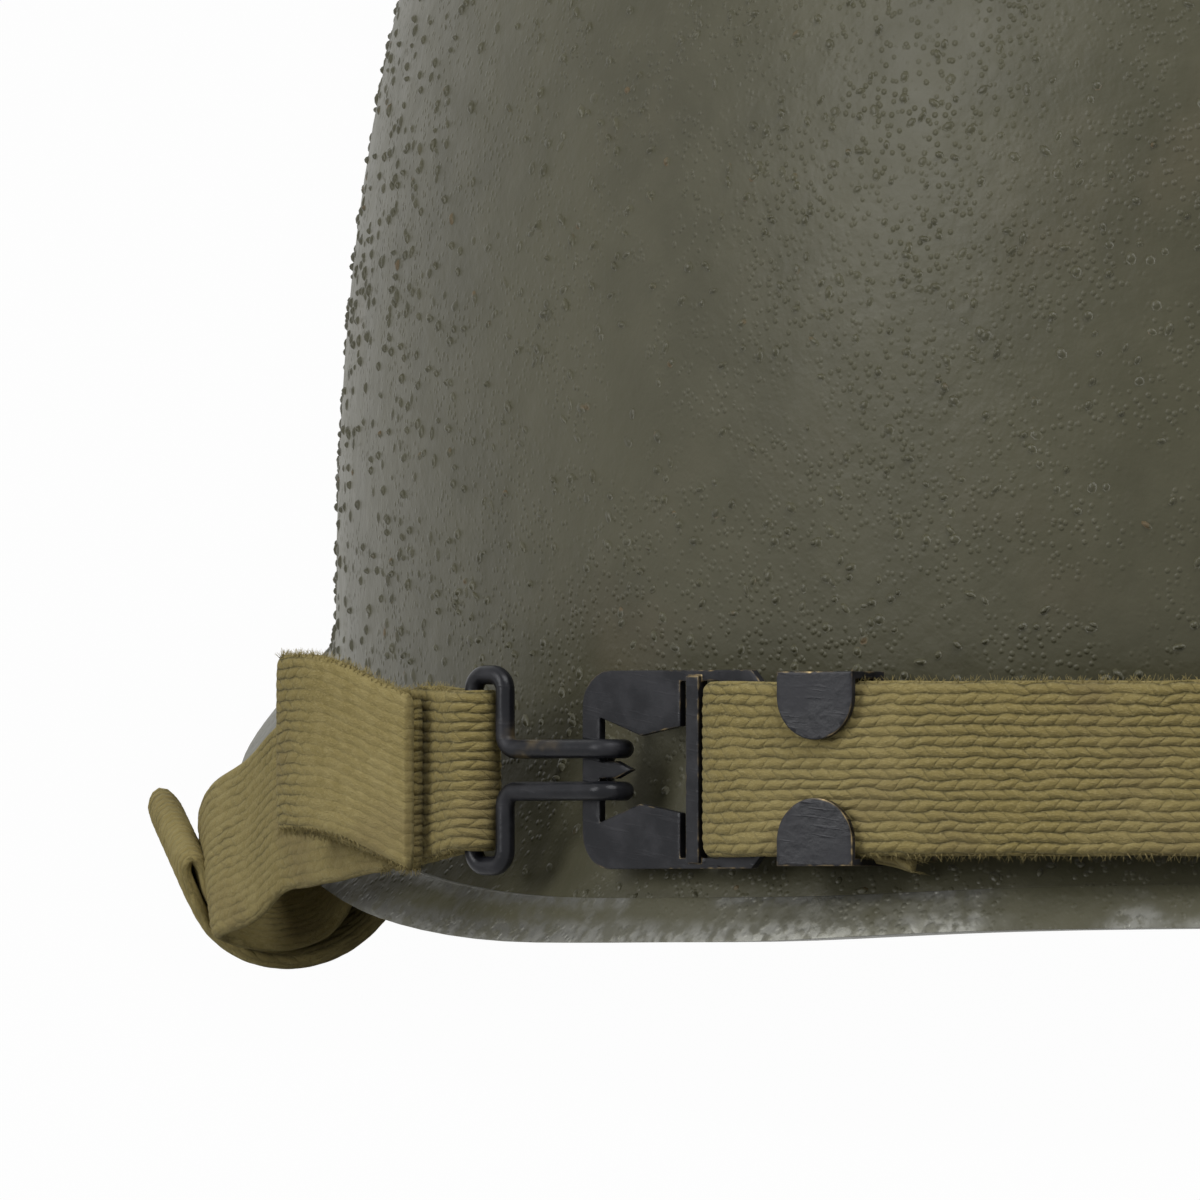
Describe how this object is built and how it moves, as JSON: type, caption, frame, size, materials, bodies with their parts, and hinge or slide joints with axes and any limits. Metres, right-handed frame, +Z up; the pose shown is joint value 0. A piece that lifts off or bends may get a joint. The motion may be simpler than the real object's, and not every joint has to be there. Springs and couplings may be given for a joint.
{
  "type": "steel pot helmet",
  "caption": "Deep steel helmet shell with a flared brim, crimped rim strip and a web chin strap hooked round its back by a wire hook and stamped buckle.",
  "frame": {"origin": "on the floor that the rim stands on, below the middle of the crown's oval", "axes": "+Z up, -Y to the back of the helmet, +Y to the visor, -X to the wearer's left"},
  "size_m": [0.2476, 0.2801, 0.178],
  "materials": {
    "textured_paint": "matt olive drab over crushed cork grit",
    "rim_paint": "olive drab worn to bare metal along the edge",
    "inside_paint": "matt olive drab",
    "bail_steel": "painted wire, worn",
    "webbing": "khaki olive cotton webbing, ribbed weave",
    "blackened_wire": "blackened brass wire, rubbed",
    "blackened_brass": "blackened stamped brass, rubbed at the edges"
  },
  "bodies": {
    "shell": {"steel_shell": "textured_paint", "rim_strip": "rim_paint", "left_bail_bracket": "inside_paint", "right_bail_bracket": "inside_paint", "left_web": "webbing", "left_web_fold": "webbing", "right_web": "webbing", "buckle": "blackened_brass"},
    "left_bail": {"left_bail": "bail_steel", "left_web_bail_end": "webbing"},
    "right_bail": {"right_bail": "bail_steel", "right_web_bail_end": "webbing"},
    "hook": {"hook": "blackened_wire", "left_web_hook_end": "webbing"},
    "keeper": {"strap_keeper": "blackened_brass"}
  },
  "joints": [
    {"name": "left_bail_swing", "type": "hinge", "parent": "shell", "child": "left_bail", "pos_m": [-0.10384, -0.02976, 0.0158], "axis": [0.2137, -0.9769, 0], "range_deg": [0, 60]},
    {"name": "right_bail_swing", "type": "hinge", "parent": "shell", "child": "right_bail", "pos_m": [0.10384, -0.02976, 0.0158], "axis": [0.2137, 0.9769, 0], "range_deg": [0, 60]},
    {"name": "hook_slide", "type": "slide", "parent": "shell", "child": "hook", "axis": [0.7342, -0.6615, 0.1527], "range_m": [0, 0.004]},
    {"name": "keeper_slide", "type": "hinge", "parent": "shell", "child": "keeper", "pos_m": [0.00241, -0.01556, 0.00689], "axis": [0, 0.225, 0.9744], "range_deg": [-1.2, 3]}
  ]
}
